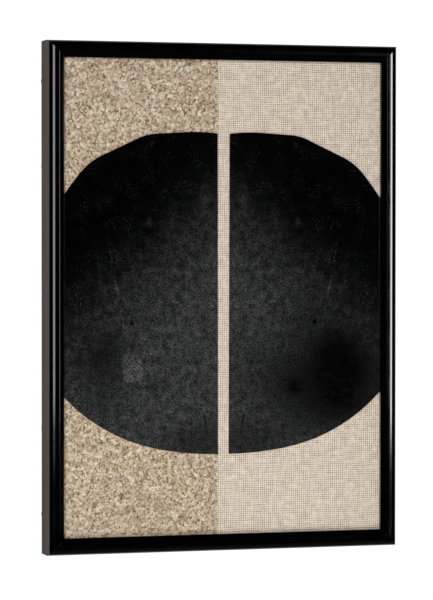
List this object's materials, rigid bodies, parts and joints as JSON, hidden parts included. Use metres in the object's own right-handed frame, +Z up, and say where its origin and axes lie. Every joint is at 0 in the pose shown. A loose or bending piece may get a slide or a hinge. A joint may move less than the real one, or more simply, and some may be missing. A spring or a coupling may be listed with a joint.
{
  "type": "cork bulletin board",
  "caption": "Framed A3 portrait pin board: black beaded frame, face part cork and part linen with thin black half-rounds, turn-button back and sawtooth hanger.",
  "frame": {"origin": "on the wall plane, level with the sawtooth hanger's middle notch, where the wall nail stands", "axes": "+Z up, +Y into the wall, so the face looks along -Y; +X to the right seen from the front"},
  "size_m": [0.315, 0.029, 0.438],
  "materials": {
    "black_lacquer": "gloss black lacquer on a wood-fibre moulding, sides in matt taupe",
    "cork": "natural agglomerated cork, matt",
    "linen": "plain-weave natural linen",
    "grey_card": "plain",
    "black_board": "matt black, worn and dusty",
    "softboard": "soft fibreboard",
    "hardboard": "smooth brown hardboard",
    "zinc_steel": "zinc plated",
    "brass_steel": "brass plated",
    "rubber": "matt black"
  },
  "bodies": {
    "frame": {"left_stile": "black_lacquer", "right_stile": "black_lacquer", "top_rail": "black_lacquer", "bottom_rail": "black_lacquer", "v_nail_top_left": "zinc_steel", "v_nail_top_right": "zinc_steel", "v_nail_bottom_left": "zinc_steel", "v_nail_bottom_right": "zinc_steel", "cork_sheet": "cork", "linen_cover": "linen", "linen_board": "grey_card", "left_half_round": "black_board", "right_half_round": "black_board", "core_board": "softboard", "backing_board": "hardboard", "screw_left_upper": "brass_steel", "screw_left_lower": "brass_steel", "screw_right_upper": "brass_steel", "screw_right_lower": "brass_steel", "screw_top_left": "brass_steel", "screw_top_right": "brass_steel", "screw_bottom_left": "brass_steel", "screw_bottom_right": "brass_steel", "sawtooth_hanger": "zinc_steel", "hanger_nail_left": "brass_steel", "hanger_nail_right": "brass_steel", "bumper_top_left": "rubber", "bumper_top_right": "rubber", "bumper_bottom_left": "rubber", "bumper_bottom_right": "rubber"},
    "button_left_upper": {"button_left_upper": "zinc_steel"},
    "button_left_lower": {"button_left_lower": "zinc_steel"},
    "button_right_upper": {"button_right_upper": "zinc_steel"},
    "button_right_lower": {"button_right_lower": "zinc_steel"},
    "button_top_left": {"button_top_left": "zinc_steel"},
    "button_top_right": {"button_top_right": "zinc_steel"},
    "button_bottom_left": {"button_bottom_left": "zinc_steel"},
    "button_bottom_right": {"button_bottom_right": "zinc_steel"}
  },
  "joints": [
    {"name": "turn_left_upper", "type": "hinge", "parent": "frame", "child": "button_left_upper", "pos_m": [-0.1535, -0.003, -0.096], "axis": [0, 1, 0], "range_deg": [-90, 90]},
    {"name": "turn_left_lower", "type": "hinge", "parent": "frame", "child": "button_left_lower", "pos_m": [-0.1535, -0.003, -0.32], "axis": [0, 1, 0], "range_deg": [-90, 90]},
    {"name": "turn_right_upper", "type": "hinge", "parent": "frame", "child": "button_right_upper", "pos_m": [0.1535, -0.003, -0.096], "axis": [0, 1, 0], "range_deg": [-90, 90]},
    {"name": "turn_right_lower", "type": "hinge", "parent": "frame", "child": "button_right_lower", "pos_m": [0.1535, -0.003, -0.32], "axis": [0, 1, 0], "range_deg": [-90, 90]},
    {"name": "turn_top_left", "type": "hinge", "parent": "frame", "child": "button_top_left", "pos_m": [-0.082, -0.003, 0.007], "axis": [0, 1, 0], "range_deg": [-90, 90]},
    {"name": "turn_top_right", "type": "hinge", "parent": "frame", "child": "button_top_right", "pos_m": [0.082, -0.003, 0.007], "axis": [0, 1, 0], "range_deg": [-90, 90]},
    {"name": "turn_bottom_left", "type": "hinge", "parent": "frame", "child": "button_bottom_left", "pos_m": [-0.082, -0.003, -0.423], "axis": [0, 1, 0], "range_deg": [-90, 90]},
    {"name": "turn_bottom_right", "type": "hinge", "parent": "frame", "child": "button_bottom_right", "pos_m": [0.082, -0.003, -0.423], "axis": [0, 1, 0], "range_deg": [-90, 90]}
  ]
}
